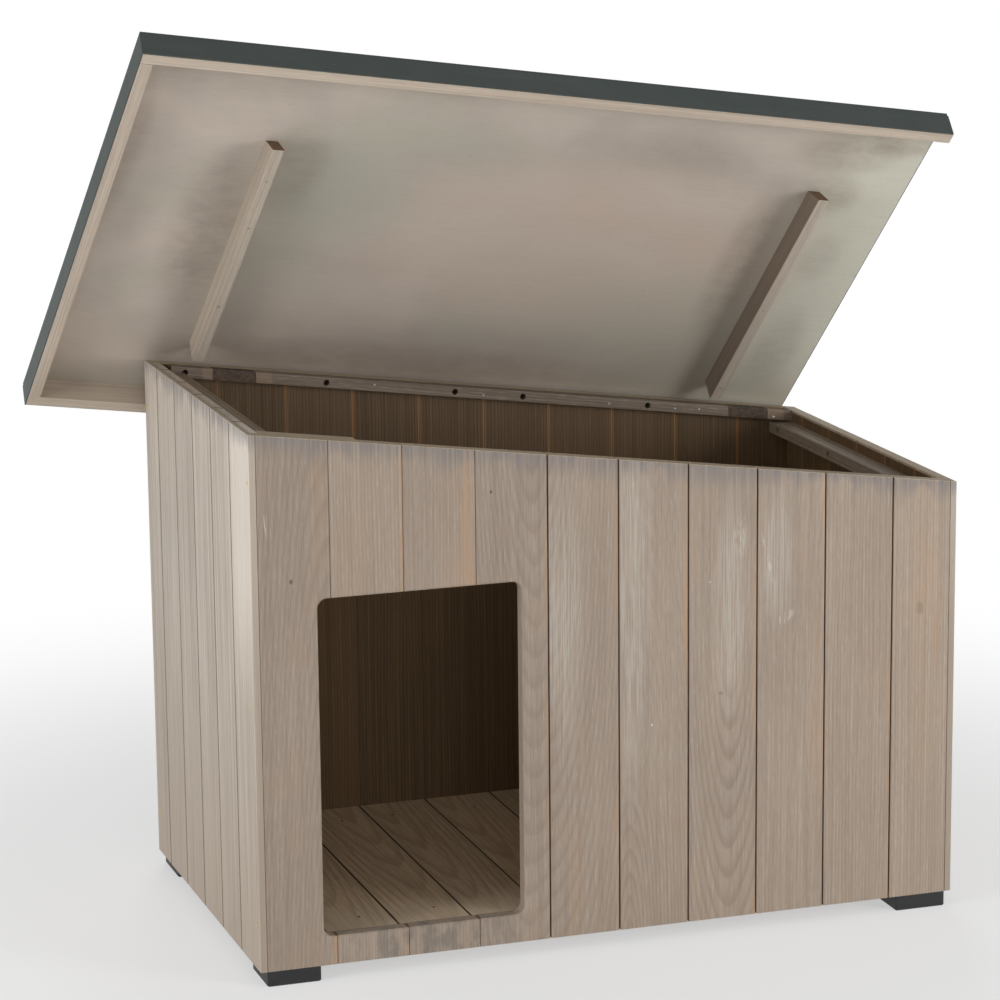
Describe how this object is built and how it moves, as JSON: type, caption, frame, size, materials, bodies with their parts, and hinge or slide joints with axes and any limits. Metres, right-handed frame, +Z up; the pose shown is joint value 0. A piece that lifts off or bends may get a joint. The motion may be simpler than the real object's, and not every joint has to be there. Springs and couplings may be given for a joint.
{
  "type": "dog house",
  "caption": "Dog house of upright tongue-and-groove boards with a rounded doorway, a boarded floor and plastic feet, under a one-slope roof that opens on hinges at the back.",
  "frame": {"origin": "on the ground, at the middle of the footprint of the whole with its roof open", "axes": "+X to the right seen from the doorway, +Y from the doorway to the back, +Z up"},
  "size_m": [1.0976, 0.5737, 1.1268],
  "materials": {
    "board_wood": "grey-brown stain over softwood grain",
    "batten_wood": "sawn and stained, matt",
    "plywood": "matt primer, blotchy",
    "roof_sheet": "matt dark grey-green",
    "foot_plastic": "matt black",
    "hinge_steel": "zinc plated"
  },
  "bodies": {
    "house": {"back_board_1": "board_wood", "back_board_10": "board_wood", "back_board_2": "board_wood", "back_board_3": "board_wood", "back_board_4": "board_wood", "back_board_5": "board_wood", "back_board_6": "board_wood", "back_board_7": "board_wood", "back_board_8": "board_wood", "back_board_9": "board_wood", "back_bottom_batten": "batten_wood", "back_top_batten": "batten_wood", "floor_bearer": "batten_wood", "floor_boards": "board_wood", "foot_front_left": "foot_plastic", "foot_front_right": "foot_plastic", "foot_rear_left": "foot_plastic", "foot_rear_right": "foot_plastic", "front_board_1": "board_wood", "front_board_10": "board_wood", "front_board_2_sill": "board_wood", "front_board_2_upper": "board_wood", "front_board_3_sill": "board_wood", "front_board_3_upper": "board_wood", "front_board_4": "board_wood", "front_board_5": "board_wood", "front_board_6": "board_wood", "front_board_7": "board_wood", "front_board_8": "board_wood", "front_board_9": "board_wood", "front_bottom_batten": "batten_wood", "front_top_batten_long": "batten_wood", "front_top_batten_short": "batten_wood", "hinge_pins": "hinge_steel", "hinge_wall_leaf_left": "hinge_steel", "hinge_wall_leaf_right": "hinge_steel", "left_board_1": "board_wood", "left_board_2": "board_wood", "left_board_3": "board_wood", "left_board_4": "board_wood", "left_board_5": "board_wood", "left_board_6": "board_wood", "left_bottom_batten": "batten_wood", "left_top_batten": "batten_wood", "right_boards": "board_wood", "right_bottom_batten": "batten_wood", "right_top_batten": "batten_wood"},
    "roof": {"hinge_roof_leaf_left": "hinge_steel", "hinge_roof_leaf_right": "hinge_steel", "roof_batten_front": "batten_wood", "roof_batten_left": "batten_wood", "roof_batten_rear": "batten_wood", "roof_covering": "roof_sheet", "roof_panel": "plywood", "roof_rim_front": "roof_sheet", "roof_rim_left": "roof_sheet", "roof_rim_rear": "roof_sheet", "roof_support_left": "batten_wood", "roof_support_right": "batten_wood"}
  },
  "joints": [
    {"name": "roof_hinge", "type": "hinge", "parent": "house", "child": "roof", "pos_m": [-0.39918, 0.23385, 0.66804], "axis": [-0.9904, 0, 0.1381], "range_deg": [-48.8, 19]}
  ]
}
